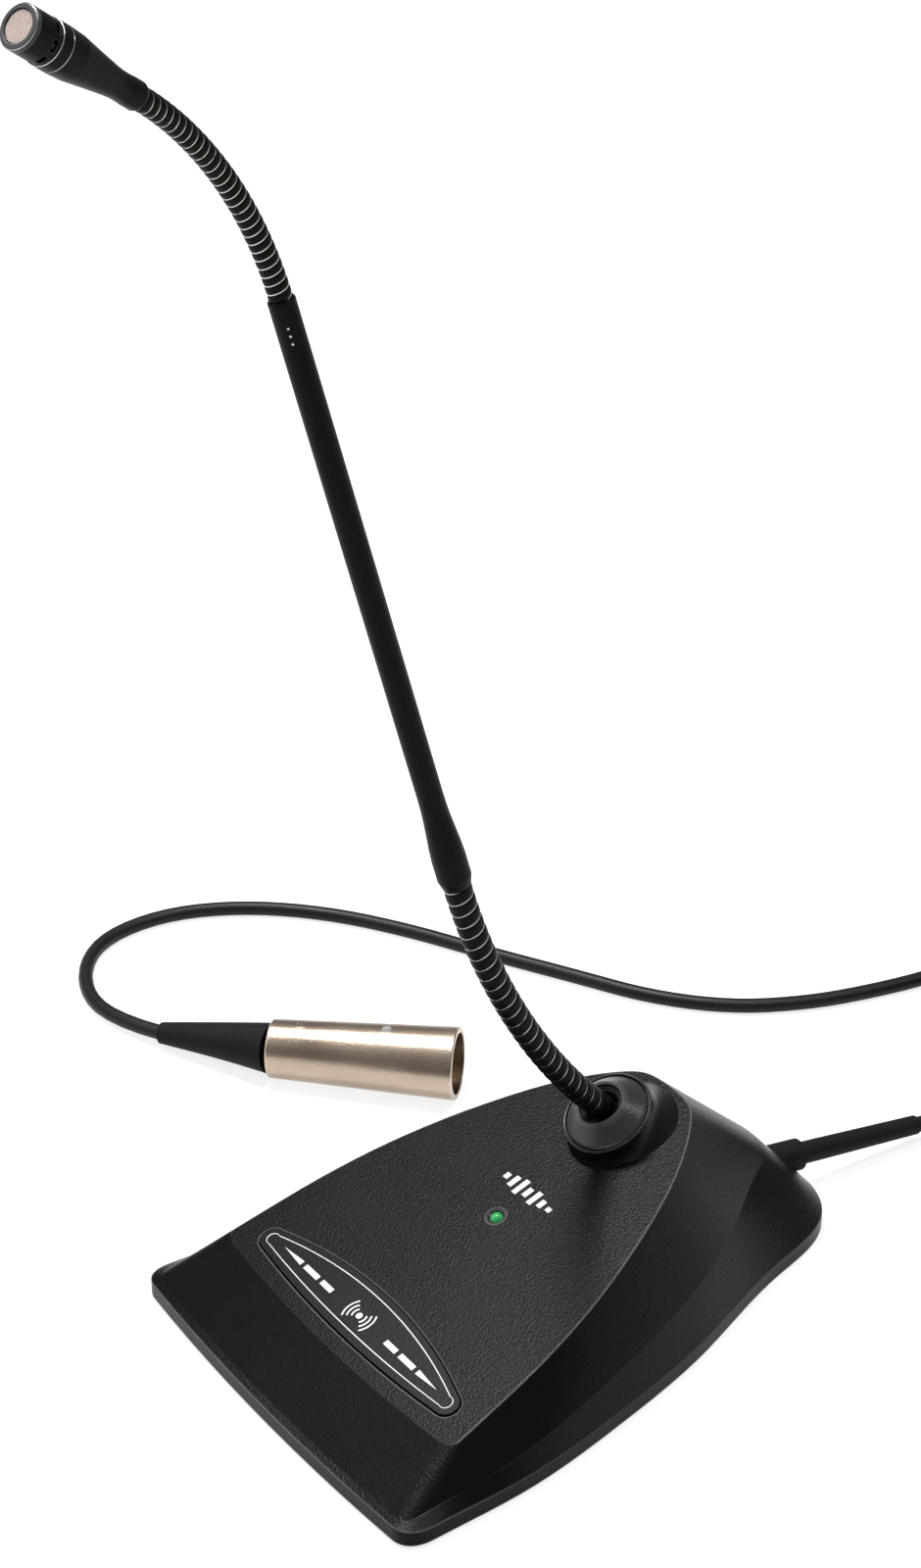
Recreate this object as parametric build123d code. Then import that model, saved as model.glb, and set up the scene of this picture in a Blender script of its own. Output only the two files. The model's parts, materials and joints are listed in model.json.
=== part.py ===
"""Gooseneck podium microphone: a weighted desk base with a press-to-talk bar, a collar that holds
a neck of two flexible stretches and one rigid tube, a small condenser head, and a cable that ends
in a three-pin audio plug. Millimetres, +Z up. The origin is on the desk under the middle of the
base. The talker sits on the -Y side, and the cable leaves at +Y."""
from build123d import *
import math
import os

# ---------------------------------------------------------------- driving dimensions
FRONT_Y = -78.4  # middle of the base's front edge
REAR_Y = 77.0  # back of the base
BASE_HALF = 55.6  # half of the base's greatest width
SKIRT_BOTTOM = 0.8
SKIRT_TOP = 4.6
WALL = 2.4
PAD_TOP = 1.3
PLATE_TOP = 3.0

BEVEL_FOOT_Y = -76.6  # front edge of the sloping faces, on the shoulder plane
SHOULDER_Z = 5.2  # the shoulder plane at BEVEL_FOOT_Y
SHOULDER_RISE = 0.122
DECK_FRONT_Y = -60.8  # front edge of the flat deck
DECK_Z0 = 33.24  # the deck plane above the origin
DECK_SLOPE = 17.94  # degrees

BUTTON_Y = -51.55
BUTTON_END = 39.1  # half length of the talk bar
BUTTON_RISE = 0.45
BUTTON_GAP = 0.35
SWITCH_X = 22.0
LED_Y = -13.5
LED_R = 1.55
BEZEL_R = 2.45

COLLAR_LEAN = 30.0  # degrees forward of upright
COLLAR_POS = (0, 17.9, 45.4)  # centre of the collar's lip
LIP_R = 11.1
CONE_R = 10.1
CONE_HOLE_R = 5.4
CONE_H = 4.15
SOCKET_R = 6.9

NECK_LEAN = 42.5  # lean of the neck where it leaves the collar
LOWER_LENGTH = 79.7
LOWER_BEND = 30.5  # degrees, back towards upright
LOWER_TURN = 193.0  # direction of that bend, round the neck
LOWER_R = 3.22
TUBE_LENGTH = 141.2
TUBE_R = 2.92
FLARE_R = 3.88
UPPER_LENGTH = 56.9
UPPER_BEND = 44.4
UPPER_TURN = 23.0
UPPER_R = 2.5
JOINTS = 8  # in each flexible stretch
BALL_GAP = 0.06

HEAD_LENGTH = 33.5
HEAD_R = 4.78
GRILLE_R = 3.2
GRILLE_LOW = 32.95
BARREL_R = 4.55  # the barrel in front of the grooves
BARREL_TOP = 32.3
RING_LOW = 23.5  # the black band between the two grooves
RING_TOP = 26.5
GROOVE_WIDTH = 0.25
GROOVE_DEPTH = 0.5
SLOT_MID = 27.8
SLOT_WIDTH = 2.3
SLOT_HEIGHT = 1.1

CABLE_R = 2.0
EXIT_POS = (0, 77.0, 9.0)
EXIT_WAY = (0.07, 0.99, -0.12)
RELIEF_LENGTH = 38.0
COIL_CENTRE = (-12, 182)
COIL_R = 32.0  # centreline of the outermost turn
COIL_TURNS = 4.25  # in each layer
COIL_LAYERS = 4
COIL_PITCH = 4.05
COIL_FLOOR = 2.9  # centreline of the lowest layer

SHELL_REAR = (-114.9, -3.4, 7.95)
SHELL_YAW = 43.8  # degrees from +X
SHELL_LENGTH = 49.5
SHELL_REAR_R = 7.7
SHELL_MOUTH_R = 9.5
MOUTH_DEPTH = 15.5
SHELL_SCREW_AT = 31.0  # from the shell's rear, on its top
CRIMPS_AT = (7.5, 8.6)

X, Y, Z = Vector(1, 0, 0), Vector(0, 1, 0), Vector(0, 0, 1)


# ---------------------------------------------------------------- small helpers
def swung(v, about, degrees):
    """A vector turned about a unit vector."""
    a = math.radians(degrees)
    return v * math.cos(a) + about.cross(v) * math.sin(a) + about * (about.dot(v) * (1 - math.cos(a)))


def turned(profile, place):
    """A solid of revolution from (radius, height) points."""
    face = Plane.XZ * make_face(Polyline(*profile, close=True))
    return place * revolve(face, Axis.Z)


def drum(radius, low, high, place):
    return place * Pos(0, 0, (low + high) / 2) * Cylinder(radius, high - low)


def block(width, depth, low, high, at=(0, 0)):
    return Pos(at[0], at[1], (low + high) / 2) * Box(width, depth, high - low)


# ---------------------------------------------------------------- base outlines
def shoulder_z(y):
    return SHOULDER_Z + SHOULDER_RISE * (y - BEVEL_FOOT_Y)


def deck_z(y):
    return DECK_Z0 + math.tan(math.radians(DECK_SLOPE)) * y


def ring(front, front_x, corner, sides, rear, height):
    """A closed outline: bowed front edge, rounded corners and sides that close round the back."""
    def at(x, y):
        return Vector(x, y, height(y))

    def along(x, y):
        return at(corner[0] + x, corner[1] + y) - at(*corner)

    left, right = at(-front_x, front + 2.0), at(front_x, front + 2.0)
    first = sides[0]
    lead = (sides[0][0] - corner[0], sides[0][1] - corner[1])
    bow = Edge.make_three_point_arc(left, at(0, front), right)
    turn = Edge.make_spline([right, at(*corner)], tangents=[along(1, 0.12), along(*lead)])
    side = Edge.make_spline([at(*corner)] + [at(*p) for p in sides] + [at(0, rear)],
                            tangents=[along(*lead), along(-1, 0)])
    other = [e.mirror(Plane.YZ) for e in (turn, side)]
    return Wire([bow, turn, side] + other)


def floor_ring(height, inset=0.0):
    sides = [(54.4, -44.7), (48.6, -14), (39.8, 17), (27.0, 50)]
    return ring(FRONT_Y + inset, 50.6 - inset, (BASE_HALF - inset, -69.0),
                [(x - inset, y) for x, y in sides], REAR_Y - inset, lambda y: height)


def shoulder_ring(inset=0.0, drop=0.0):
    sides = [(52.2, -44), (47.4, -19), (38.6, 10), (24.4, 38), (12.4, 54.5)]
    return ring(BEVEL_FOOT_Y + inset, 49.6 - inset, (52.6 - inset, -68.0),
                [(x - inset, y - inset / 3) for x, y in sides], 62.0 - inset,
                lambda y: shoulder_z(y) - drop)


def deck_ring(inset=0.0, drop=0.0):
    sides = [(44.0, -37.7), (38.2, -12.4), (29.6, 8.8), (20.4, 24.4), (11.5, 34.0)]
    return ring(DECK_FRONT_Y + inset / 4, 42.6 - inset, (46.2 - inset, -55.8),
                [(x - inset, y) for x, y in sides], 36.8 - inset, lambda y: deck_z(y) - drop)


def prism(wire, height):
    return extrude(Face(wire), height, dir=(0, 0, 1))


def solid_base():
    skirt = prism(floor_ring(SKIRT_BOTTOM), SKIRT_TOP - SKIRT_BOTTOM)
    return skirt + Solid.make_loft([floor_ring(SKIRT_TOP), shoulder_ring(), deck_ring()], ruled=True)


def base_hollow():
    low = prism(floor_ring(0, WALL), PLATE_TOP)
    roof = Solid.make_loft([floor_ring(PLATE_TOP, WALL), shoulder_ring(WALL, 1.5), deck_ring(1.1, 2.5)],
                           ruled=True)
    return low + roof


# ---------------------------------------------------------------- places
def deck_place(y):
    """A plane on the deck, x to the right, y up the slope, z outwards."""
    slope = math.radians(DECK_SLOPE)
    return Plane((0, y, deck_z(y)), x_dir=X, z_dir=(0, -math.sin(slope), math.cos(slope)))


LEAN = math.radians(COLLAR_LEAN)
COLLAR = Plane(COLLAR_POS, x_dir=X, z_dir=(0, -math.sin(LEAN), math.cos(LEAN)))
BUTTON = deck_place(BUTTON_Y)
SCREWS = [(sx * x, y) for x, y in ((43, -62), (19, 38)) for sx in (-1, 1)]


# ---------------------------------------------------------------- talk bar
def lens():
    """The talk bar's outline: a long lens, more bowed at the back than at the front."""
    end_x, rear_v, front_v = 36.5, 2.45, -3.5
    rear = ThreePointArc((end_x, rear_v), (0, 8.2), (-end_x, rear_v))
    left = ThreePointArc((-end_x, rear_v), (-BUTTON_END, -0.5), (-end_x, front_v))
    front = ThreePointArc((-end_x, front_v), (0, -5.7), (end_x, front_v))
    right = ThreePointArc((end_x, front_v), (BUTTON_END, -0.5), (end_x, rear_v))
    return make_face(rear + left + front + right)


def slab(face, low, high):
    return BUTTON * Pos(0, 0, low) * extrude(face, high - low)


def push_button():
    cap = slab(lens(), -2.6, BUTTON_RISE)
    flange = slab(offset(lens(), 1.2), -3.3, -2.5)
    posts = [drum(1.8, -5.0, -3.3, BUTTON * Pos(s * SWITCH_X, 0, 0)) for s in (-1, 1)]
    return cap + flange + posts


def switch_plungers():
    return Compound([drum(1.4, -6.6, -5.0, BUTTON * Pos(s * SWITCH_X, 0, 0)) for s in (-1, 1)])


def tact_switches():
    bodies = []
    for s in (-1, 1):
        spot = BUTTON * Pos(s * SWITCH_X, 0, 0)
        case = spot * Pos(0, 0, -7.55) * Box(6, 6, 3.3)
        bodies.append(case - drum(1.5, -7.6, -5.0, spot))
    return Compound(bodies)


def button_board():
    return BUTTON * Pos(0, 0, -9.7) * Box(90, 8, 1.0)


# ---------------------------------------------------------------- base parts
def base_housing():
    outer = solid_base()
    shell = outer - base_hollow()
    for x, y in SCREWS:
        post = block(6.4, 6.4, PLATE_TOP, 40, (x, y)) & outer
        shell = shell + post - drum(1.4, 0, 9.0, Pos(x, y, 0))
    for s in (-1, 1):
        shell = shell + drum(1.4, -9.2, -1.5, BUTTON * Pos(s * 43.2, 0, 0))
    shell = shell + (drum(10, -13, -8.0, COLLAR) & outer)
    shell = shell - slab(offset(lens(), BUTTON_GAP), -4, 4)
    shell = shell - drum(BEZEL_R, -5, 5, deck_place(LED_Y))
    shell = shell - drum(SOCKET_R, -20, 12, COLLAR)
    shell = shell - drum(4.0, -21, 9, gland_place()) - drum(5.6, -16, -10.8, gland_place())
    return shell


def bottom_plate():
    plate = prism(floor_ring(PAD_TOP, WALL + 0.2), PLATE_TOP - PAD_TOP)
    for x, y in SCREWS:
        plate = plate - drum(1.6, 0, 5, Pos(x, y, 0))
    return plate


def rubber_pad():
    pad = prism(floor_ring(0, WALL + 1.2), PAD_TOP)
    for x, y in SCREWS:
        pad = pad - drum(3.1, -1, 3, Pos(x, y, 0))
    return pad


def housing_screws():
    screw = [drum(2.7, 0.3, PAD_TOP, Pos(x, y, 0)) + drum(1.4, PAD_TOP, 8.5, Pos(x, y, 0)) for x, y in SCREWS]
    slots = [block(4.0, 0.8, 0.2, 0.8, p) for p in SCREWS]
    return Compound([s - g for s, g in zip(screw, slots)])


def ballast_weight():
    return fillet(block(46, 56, PLATE_TOP, 12, (0, -2)).edges().filter_by(Axis.Z), 4)


def board_standoffs():
    return Compound([drum(2.2, 12, 15, Pos(sx * 15, y, 0)) for sx in (-1, 1) for y in (-24, 18)])


def main_board():
    return block(38, 50, 15, 16.6, (0, -3))


def board_components():
    chips = [block(9, 7, 16.6, 18.2, (0, 4)), block(6, 5, 16.6, 17.8, (-11, -8))]
    cans = [drum(2.4, 16.6, 20.4, Pos(x, y, 0)) for x, y in ((11, 12), (11, 5), (-12, 12))]
    header = block(12, 4, 16.6, 20.6, (0, 17))
    return Compound(chips + cans + [header])


def led_bezel():
    return turned([(LED_R, -4.2), (LED_R, -0.5), (LED_R + 0.45, -0.15), (BEZEL_R, -0.15), (BEZEL_R, -4.2)],
                  deck_place(LED_Y))


def led_lens():
    place = deck_place(LED_Y)
    dome = place * Pos(0, 0, -0.95) * Sphere(LED_R)
    return (dome & drum(3, -0.95, 3, place)) + drum(LED_R, -6.2, -0.95, place)


# ---------------------------------------------------------------- collar
def collar_boss():
    flare = Spline((LIP_R, -0.3), (LIP_R + 0.15, -2.0), (12.1, -4.6), (13.7, -7.2), (14.8, -10.5),
                   tangents=[(0, -1), (0.02, -1)])
    outline = flare + Polyline((14.8, -10.5), (14.8, -24), (SOCKET_R, -24), (SOCKET_R, -1.6),
                               (LIP_R - 0.6, -1.6), (LIP_R - 0.6, -0.1), (LIP_R - 0.3, 0), (LIP_R, -0.3))
    boss = COLLAR * revolve(Plane.XZ * make_face(outline), Axis.Z)
    under = deck_place(20) * Pos(0, 0, -50) * Box(200, 200, 100)
    return boss - under - solid_base()


def collar_cone():
    return turned([(CONE_HOLE_R, -1.6), (CONE_R, -1.6), (CONE_R, -0.2), (CONE_R - 0.35, 0.35),
                   (CONE_HOLE_R + 0.5, CONE_H), (CONE_HOLE_R, CONE_H - 0.3)], COLLAR)


def collar_bushing():
    return turned([(3.5, -1.6), (CONE_HOLE_R, -1.6), (CONE_HOLE_R, 2.7), (5.1, 3.1), (4.75, 3.1),
                   (4.6, 2.8), (4.3, 2.8), (3.9, 2.2), (3.55, 1.0)], COLLAR)


def neck_socket():
    return turned([(3.4, -21), (SOCKET_R, -21), (SOCKET_R, -1.6), (3.4, -1.6)], COLLAR)


def neck_lock_nut():
    nut = COLLAR * Pos(0, 0, -17) * extrude(RegularPolygon(10.5, 6), 4)
    return nut - drum(SOCKET_R, -20, -10, COLLAR)


# ---------------------------------------------------------------- neck line
def neck_walk():
    """Joint points, ways and turning axes up the neck, and where the tube and head start."""
    lean = math.radians(NECK_LEAN)
    way = Vector(0, -math.sin(lean), math.cos(lean))
    side = X
    bend_at = COLLAR.origin + COLLAR.z_dir
    at = bend_at + way * 3.1
    joints, marks = [], [(bend_at, way)]
    stretches = ((LOWER_LENGTH, LOWER_BEND, LOWER_TURN), (UPPER_LENGTH, UPPER_BEND, UPPER_TURN))
    for length, bend, turn in stretches:
        t = math.radians(turn)
        about = side * math.cos(t) + way.cross(side) * math.sin(t)
        step = length / JOINTS
        for n in range(JOINTS):
            at = at + way * (step / 2)
            way, side = swung(way, about, bend / JOINTS), swung(side, about, bend / JOINTS)
            pitch = (X - way * way.X).normalized()
            joints.append((at, way, pitch if n % 2 == 0 else way.cross(pitch)))
            at = at + way * (step / 2)
        marks.append((at, way))
        at = at + way * TUBE_LENGTH
    return joints, marks


NECK_JOINTS, NECK_MARKS = neck_walk()


def along(point, way):
    """A plane at a point with z along a way."""
    return Plane(point, x_dir=(X - way * way.X).normalized(), z_dir=way)


class Bead:
    """Sizes of one flexible stretch's links, from its outer radius."""

    def __init__(self, outer):
        self.outer = outer
        self.ball = outer * 0.72
        self.cup = self.ball + BALL_GAP
        self.rim = outer * 0.22
        self.shoulder = outer * 0.5
        self.bore = outer * 0.28


LOWER, UPPER = Bead(LOWER_R), Bead(UPPER_R)


def ball_end(bead, length, place):
    """A ball round the place's origin, with the shoulder above it, up to a length."""
    shank = turned([(0, bead.shoulder), (bead.outer - 0.4, bead.shoulder), (bead.outer, bead.shoulder + 0.4),
                    (bead.outer, length), (0, length)], place)
    return shank + place * Sphere(bead.ball)


def cup_cut(bead, high, place):
    return place * Pos(0, 0, high) * Sphere(bead.cup)


def link(index):
    """One link, from its own joint to the next one."""
    bead = LOWER if index < JOINTS else UPPER
    here, way = NECK_JOINTS[index][0], NECK_JOINTS[index][1]
    length = (NECK_JOINTS[index + 1][0] - here).length
    place = along(here, way)
    body = ball_end(bead, length + bead.rim, place) - cup_cut(bead, length, place)
    return body - drum(bead.bore, -4, length, place)


def neck_ferrule():
    bend_at, way = NECK_MARKS[0]
    first = NECK_JOINTS[0][0]
    length = (first - bend_at).length
    place = along(bend_at, way)
    stem = drum(3.35, -20, -2.2, COLLAR) + drum(LOWER_R, -2.2, 1, COLLAR)
    elbow = place * Sphere(LOWER_R)
    stub = drum(LOWER_R, 0, length + LOWER.rim, place)
    bore = drum(LOWER.bore, -21, 1, COLLAR) + drum(LOWER.bore, 0, length, place)
    return stem + elbow + stub - cup_cut(LOWER, length, place) - bore


TUBE = along(*NECK_MARKS[1])
HEAD = along(*NECK_MARKS[2])


def lower_flex_end():
    """The lower stretch's top end, pressed into the tube."""
    last = NECK_JOINTS[JOINTS - 1][0]
    reach = (NECK_MARKS[1][0] - last).length
    place = along(last, NECK_MARKS[1][1])
    return ball_end(LOWER, reach, place) + drum(2.2, reach, reach + 12, place) - drum(
        LOWER.bore, -4, reach + 12, place)


def neck_tube():
    outline = [(2.2, 0), (LOWER_R, 0), (FLARE_R, 2.4), (FLARE_R, 7.5), (3.72, 10.5), (3.42, 14.0),
               (3.12, 17.5), (2.97, 20.5), (TUBE_R, 24), (TUBE_R, TUBE_LENGTH - 0.5),
               (TUBE_R - 0.3, TUBE_LENGTH), (1.9, TUBE_LENGTH), (1.9, 12), (2.2, 12)]
    return turned(outline, TUBE)


def neck_wire():
    return drum(0.8, 13, TUBE_LENGTH - 9, TUBE)


def upper_flex_start():
    """The upper stretch's bottom end, pressed into the tube."""
    first = NECK_JOINTS[JOINTS][0]
    place = TUBE * Pos(0, 0, TUBE_LENGTH)
    reach = UPPER_LENGTH / JOINTS / 2
    body = drum(1.9, -8, 0, place) + drum(UPPER_R, 0, reach + UPPER.rim, place)
    return body - cup_cut(UPPER, reach, place) - drum(UPPER.bore, -9, reach, place)


# ---------------------------------------------------------------- head
def head_stub():
    reach = UPPER_LENGTH / JOINTS / 2
    place = HEAD * Pos(0, 0, -reach)
    return ball_end(UPPER, reach, place) + drum(2.0, reach, reach + 6, place) - drum(
        UPPER.bore, -4, reach + 6, place)


def head_sleeve():
    outline = [(2.0, 0), (2.5, 0), (2.95, 0.85), (2.95, 3.2), (2.85, 5.0), (2.9, 6.9), (3.06, 8.5),
               (3.86, 14.2), (4.6, 19.2), (HEAD_R, 22.8), (HEAD_R, RING_LOW), (3.5, RING_LOW), (2.4, 13.2),
               (2.0, 6.5)]
    return turned(outline, HEAD)


def head_ring():
    """The black band between the two bright grooves."""
    floor = HEAD_R - GROOVE_DEPTH
    low, high = RING_LOW + GROOVE_WIDTH, RING_TOP - GROOVE_WIDTH
    return turned([(3.5, RING_LOW), (floor, RING_LOW), (floor, low), (HEAD_R, low), (HEAD_R, high),
                   (floor, high), (floor, RING_TOP), (3.5, RING_TOP)], HEAD)


def capsule_housing():
    barrel = turned([(3.9, RING_TOP), (HEAD_R - 0.1, RING_TOP), (BARREL_R, RING_TOP + 0.3),
                     (BARREL_R, BARREL_TOP), (3.9, BARREL_TOP)], HEAD)
    for n in range(8):
        slot = HEAD * Rot(0, 0, 45 * n) * Pos(BARREL_R, 0, SLOT_MID) * Box(2.4, SLOT_WIDTH, SLOT_HEIGHT)
        barrel = barrel - slot
    return barrel


def front_ring():
    inner = GRILLE_R + 0.2
    return turned([(inner, BARREL_TOP), (BARREL_R, BARREL_TOP), (BARREL_R, HEAD_LENGTH - 0.35),
                   (BARREL_R - 0.35, HEAD_LENGTH), (inner + 0.1, HEAD_LENGTH), (inner, HEAD_LENGTH - 0.1)],
                  HEAD)


def capsule_grille():
    return drum(GRILLE_R, GRILLE_LOW, GRILLE_LOW + 0.3, HEAD)


def capsule():
    low = SLOT_MID + 1.6
    return turned([(0, low), (3.9, low), (3.9, BARREL_TOP), (GRILLE_R, BARREL_TOP),
                   (GRILLE_R, GRILLE_LOW), (0, GRILLE_LOW)], HEAD)


def preamp_board():
    return HEAD * Pos(0, 0, 20.5) * Box(4.0, 1.0, 10)


# ---------------------------------------------------------------- cable
def gland_place():
    return Plane(EXIT_POS, x_dir=X, z_dir=Vector(*EXIT_WAY).normalized())


def cable_gland():
    """A grommet that grips the housing wall and carries the bend relief."""
    place = gland_place()
    return turned([(2.8, -12.5), (5.6, -12.5), (5.6, -10.8), (4.0, -10.8), (4.0, 0.8), (2.8, 0.8)], place)


def strain_relief():
    place = gland_place()
    tip = 2.45
    body = turned([(0, -16), (2.8, -16), (2.8, 6), (tip, RELIEF_LENGTH - 0.3), (tip - 0.2, RELIEF_LENGTH),
                   (0, RELIEF_LENGTH)], place)
    return body - drum(CABLE_R, RELIEF_LENGTH - 12, RELIEF_LENGTH + 1, place)


def cable_clamp():
    """A saddle on the bottom plate round the bend relief's inner end."""
    place = gland_place()
    spot = place.origin - place.z_dir * 14.6
    saddle = block(12, 2.4, PLATE_TOP, 13.2, (spot.X, spot.Y))
    return saddle - drum(2.8, -20, -9, place)


def eased_path(points):
    """Straight runs joined by arcs, each arc as large as its two runs allow."""
    radii = []
    for a, b, c in zip(points, points[1:], points[2:]):
        runs = (Vector(*b) - Vector(*a), Vector(*c) - Vector(*b))
        half_turn = math.radians(runs[0].get_angle(runs[1])) / 2
        radii.append(0.45 * min(runs[0].length, runs[1].length) / math.tan(half_turn))
    return FilletPolyline(*points, radius=radii), radii


def cable_tube(points, name):
    path, radii = eased_path(points)
    section = Plane(path @ 0, z_dir=path % 0) * Circle(CABLE_R)
    tube = sweep(section, path=path)
    print(name, "radii", [round(r, 1) for r in radii], "length", round(path.length, 1),
          "volume ratio", round(tube.volume / (math.pi * CABLE_R ** 2 * path.length), 4))
    return tube


def lead_points():
    place = gland_place()
    start = place.origin + place.z_dir * (RELIEF_LENGTH - 12)
    first = place.origin + place.z_dir * (RELIEF_LENGTH + 4.5)
    route = [(6.2, 137, 2.05), (12.0, 153.5, 2.05), (18.5, 168.5, 2.4), (20, 182, COIL_FLOOR)]
    return [tuple(start), tuple(first)] + route


def tail_points():
    flat = [(-49.5, 168), (-53, 150), (-58.5, 131.5), (-68.5, 113), (-85, 98), (-105, 87.5),
            (-127.5, 75), (-150.5, 63.5), (-171.5, 49.5), (-188, 31.5), (-197, 10.5), (-194.5, -11),
            (-179, -24.5), (-159.5, -27.3)]
    return [(-48.1, 182, COIL_FLOOR)] + [(x, y, 2.05) for x, y in flat] + [BOOT_TIP]


def coil_ring(inner, outer, low, high):
    centre = Pos(COIL_CENTRE[0], COIL_CENTRE[1], 0)
    return drum(outer, low, high, centre) - drum(inner, low - 1, high + 1, centre)


def coil_reach():
    """Inner and outer radius, bottom and top of the wound turns."""
    inner = COIL_R - COIL_TURNS * COIL_PITCH - CABLE_R
    low = COIL_FLOOR - CABLE_R
    return inner, COIL_R + CABLE_R, low, low + 2 * CABLE_R + (COIL_LAYERS - 1) * COIL_PITCH


def cable_coil():
    inner, outer, low, high = coil_reach()
    last = coil_ring(outer - 1, outer + COIL_PITCH + 0.1, low, high)
    back = block(200, 60, -5, 40, (COIL_CENTRE[0], COIL_CENTRE[1] + 30))
    return coil_ring(inner, outer, low, high) + (last & back)


def cable_tie():
    """A strap round the turns, on the side that faces the base."""
    inner, outer, low, high = coil_reach()
    slack, thick, half = 0.15, 0.7, 4.5
    near = math.sqrt(inner ** 2 - half ** 2) - slack
    depth, middle = outer + slack - near, (outer + slack + near) / 2
    spot = (COIL_CENTRE[0], COIL_CENTRE[1] - middle)
    strap = block(2 * half, depth + 2 * thick, low - slack - thick, high + slack + thick, spot)
    strap = fillet(strap.edges().filter_by(Axis.X), 1.6)
    return strap - block(4 * half, depth, low - slack, high + slack, spot)


# ---------------------------------------------------------------- plug
def shell_place():
    yaw = math.radians(SHELL_YAW)
    rise = math.asin((SHELL_MOUTH_R - SHELL_REAR_R) / SHELL_LENGTH)
    way = Vector(math.cos(yaw) * math.cos(rise), math.sin(yaw) * math.cos(rise), math.sin(rise))
    return Plane(SHELL_REAR, x_dir=(math.sin(yaw), -math.cos(yaw), 0), z_dir=way)


SHELL = shell_place()
BOOT_R = 6.7
BOOT_TIP_R = 2.9
BOOT_ELBOW = (-127.3, -10.7, 6.4)
BOOT_TIP = (-143.0, -20.0, 3.6)


def plug_boot():
    """A rubber boot that tapers and bends from the shell to the cable."""
    a, b, c = SHELL.origin, Vector(*BOOT_ELBOW), Vector(*BOOT_TIP)
    sections = []
    for n in range(7):
        t = n / 6
        at = a * (1 - t) ** 2 + b * (2 * t * (1 - t)) + c * t ** 2
        way = (b - a) * (1 - t) + (c - b) * t
        radius = BOOT_R + (BOOT_TIP_R - BOOT_R) * t
        sections.append(Plane(at, x_dir=(0, 0, 1) if n == 0 else Z - way.normalized() * way.normalized().Z,
                              z_dir=way) * Circle(radius))
    return loft(sections)


def shell_top(at):
    """A plane on the shell's axis that looks straight up through its wall."""
    return SHELL * Pos(0, 0, at) * Rot(90, 0, 0)


def plug_shell():
    outline = [(SHELL_REAR_R - 0.4, 0), (SHELL_REAR_R, 0.4), (SHELL_MOUTH_R, SHELL_LENGTH - 0.3),
               (SHELL_MOUTH_R - 0.3, SHELL_LENGTH), (8.1, SHELL_LENGTH),
               (8.1, SHELL_LENGTH - MOUTH_DEPTH - 7), (6.4, SHELL_LENGTH - MOUTH_DEPTH - 8), (6.4, 0)]
    shell = turned(outline, SHELL) - drum(1.3, 7, 12, shell_top(SHELL_SCREW_AT))
    for at in CRIMPS_AT:
        shell = shell - drum(0.4, SHELL_REAR_R - 0.1, 12, shell_top(at))
    return shell


def plug_insert():
    floor = SHELL_LENGTH - MOUTH_DEPTH
    body = drum(8.1, floor - 7, floor, SHELL) - drum(0.9, 5.6, 9, shell_top(SHELL_SCREW_AT))
    for x, y in PINS:
        body = body - drum(1.2, floor - 8, floor + 1, SHELL * Pos(x, y, 0))
    return body


PINS = [(4.2, 1.4), (-4.2, 1.4), (0, -3.9)]


def plug_pins():
    floor = SHELL_LENGTH - MOUTH_DEPTH
    pins = []
    for x, y in PINS:
        pins.append(turned([(0, floor - 9), (1.2, floor - 9), (1.2, floor + 11.2), (0.7, floor + 12.4),
                            (0, floor + 12.6)], SHELL * Pos(x, y, 0)))
    return Compound(pins)


def plug_screw():
    """Holds the insert in the shell."""
    place = shell_top(SHELL_SCREW_AT)
    head = drum(1.3, 8.1, 8.7, place) - place * Pos(0, 0, 8.7) * Box(0.4, 4, 0.5)
    return head + drum(0.9, 5.6, 8.1, place)


# ---------------------------------------------------------------- everything
NODES = {
    "base_housing": base_housing, "bottom_plate": bottom_plate, "rubber_pad": rubber_pad,
    "housing_screws": housing_screws, "ballast_weight": ballast_weight,
    "board_standoffs": board_standoffs, "main_board": main_board,
    "board_components": board_components, "button_board": button_board,
    "tact_switches": tact_switches, "switch_plungers": switch_plungers, "push_button": push_button,
    "led_bezel": led_bezel, "led_lens": led_lens, "collar_boss": collar_boss,
    "collar_cone": collar_cone, "collar_bushing": collar_bushing, "neck_socket": neck_socket,
    "neck_lock_nut": neck_lock_nut, "neck_ferrule": neck_ferrule, "cable_gland": cable_gland,
    "strain_relief": strain_relief, "cable_clamp": cable_clamp,
    "lower_flex_end": lower_flex_end, "neck_tube": neck_tube, "neck_wire": neck_wire,
    "upper_flex_start": upper_flex_start, "head_stub": head_stub, "head_sleeve": head_sleeve,
    "head_ring": head_ring, "capsule_housing": capsule_housing, "front_ring": front_ring,
    "capsule_grille": capsule_grille, "capsule": capsule, "preamp_board": preamp_board,
    "plug_boot": plug_boot, "plug_shell": plug_shell, "plug_insert": plug_insert,
    "plug_pins": plug_pins, "plug_screw": plug_screw,
    "cable_coil": cable_coil, "cable_tie": cable_tie,
    "cable_lead": lambda: cable_tube(lead_points(), "cable_lead"),
    "cable_tail": lambda: cable_tube(tail_points(), "cable_tail"),
}
for n in range(1, JOINTS):
    NODES[f"lower_link_{n}"] = lambda n=n: link(n - 1)
    NODES[f"upper_link_{n}"] = lambda n=n: link(JOINTS + n - 1)

os.makedirs("parts", exist_ok=True)
for name, make in NODES.items():
    shape = make()
    export_step(shape, f"parts/{name}.step")
print(len(NODES), "nodes")
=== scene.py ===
"""Looks of the gooseneck podium microphone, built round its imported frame. Metres, +Z up."""
import json
import math

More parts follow.
